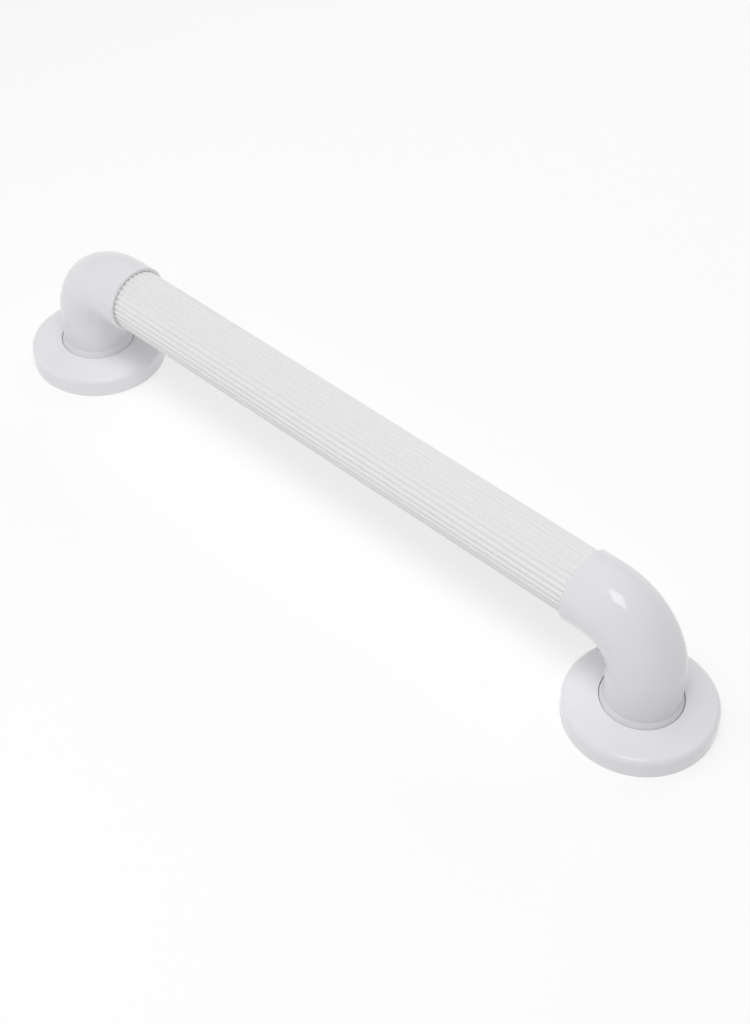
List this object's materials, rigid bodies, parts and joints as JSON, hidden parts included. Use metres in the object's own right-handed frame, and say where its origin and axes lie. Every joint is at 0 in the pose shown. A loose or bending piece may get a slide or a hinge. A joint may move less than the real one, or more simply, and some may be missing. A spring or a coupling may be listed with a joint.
{
  "type": "fluted grab rail",
  "caption": "Straight wall grab rail: a fluted plastic grip between elbow feet, each with a screw flange under a lift-off round cover.",
  "frame": {"origin": "on the wall plane, midway between the two feet", "axes": "+X along the rail from the left foot to the right foot, +Z away from the wall, +Y the far side of the grip"},
  "size_m": [0.478, 0.078, 0.083],
  "materials": {
    "grip_plastic": "white extruded plastic, satin",
    "elbow_plastic": "cool white moulded plastic, soft gloss",
    "cover_plastic": "cool white moulded plastic, soft gloss",
    "core_metal": "extruded, as drawn",
    "gasket_rubber": "flat sheet rubber",
    "seal_rubber": "soft washer",
    "screw_steel": "stainless steel"
  },
  "bodies": {
    "rail": {"fluted_grip_tube": "grip_plastic", "core_tube": "core_metal", "right_elbow": "elbow_plastic", "left_elbow": "elbow_plastic", "right_base_gasket": "gasket_rubber", "left_base_gasket": "gasket_rubber", "right_tube_end_seal": "seal_rubber", "left_tube_end_seal": "seal_rubber", "right_joint_screw": "screw_steel", "left_joint_screw": "screw_steel"},
    "right_cover": {"right_flange_cover": "cover_plastic"},
    "left_cover": {"left_flange_cover": "cover_plastic"}
  },
  "joints": [
    {"name": "right_cover_slide", "type": "slide", "parent": "rail", "child": "right_cover", "axis": [0, 0, 1], "range_m": [0, 0.022]},
    {"name": "left_cover_slide", "type": "slide", "parent": "rail", "child": "left_cover", "axis": [0, 0, 1], "range_m": [0, 0.022]}
  ]
}
